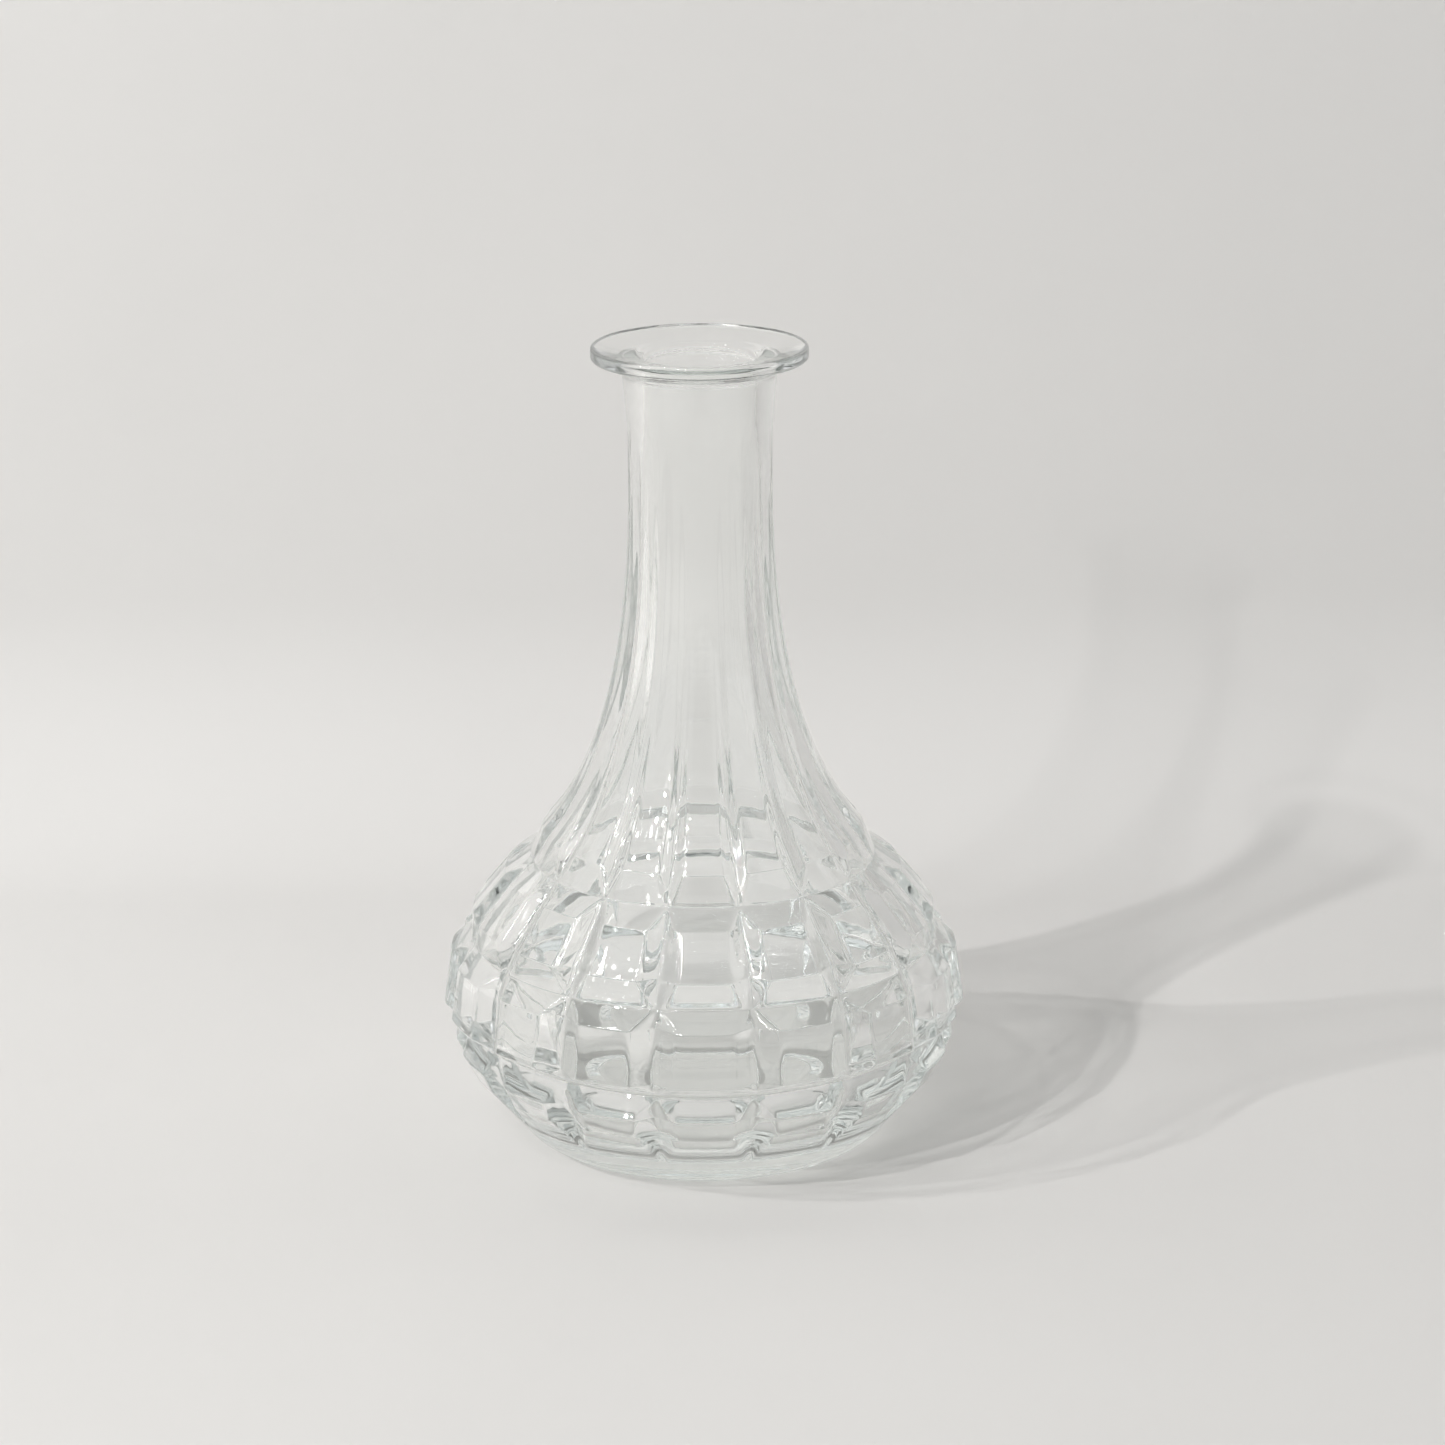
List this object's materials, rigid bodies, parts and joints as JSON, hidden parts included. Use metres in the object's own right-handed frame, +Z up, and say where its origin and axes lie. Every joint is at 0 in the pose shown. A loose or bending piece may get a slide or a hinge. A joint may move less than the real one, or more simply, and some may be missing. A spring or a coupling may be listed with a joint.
{
  "type": "bud vase",
  "caption": "Clear pressed-glass bud vase: round foot, squat body of raised blocks, slim fluted neck opening to a flat round mouth flange.",
  "frame": {"origin": "centre of the flat foot ring, on the surface that the vase stands on", "axes": "+Z up along the vase's axis to the mouth; the middle of a block and of a flute faces -Y, and another faces +X"},
  "size_m": [0.0912, 0.0912, 0.14],
  "materials": {
    "clear_glass": "clear, fire-polished, colourless with a faint green-grey cast at the thick edges"
  },
  "bodies": {
    "root": {"glass_vase": "clear_glass"}
  },
  "joints": []
}
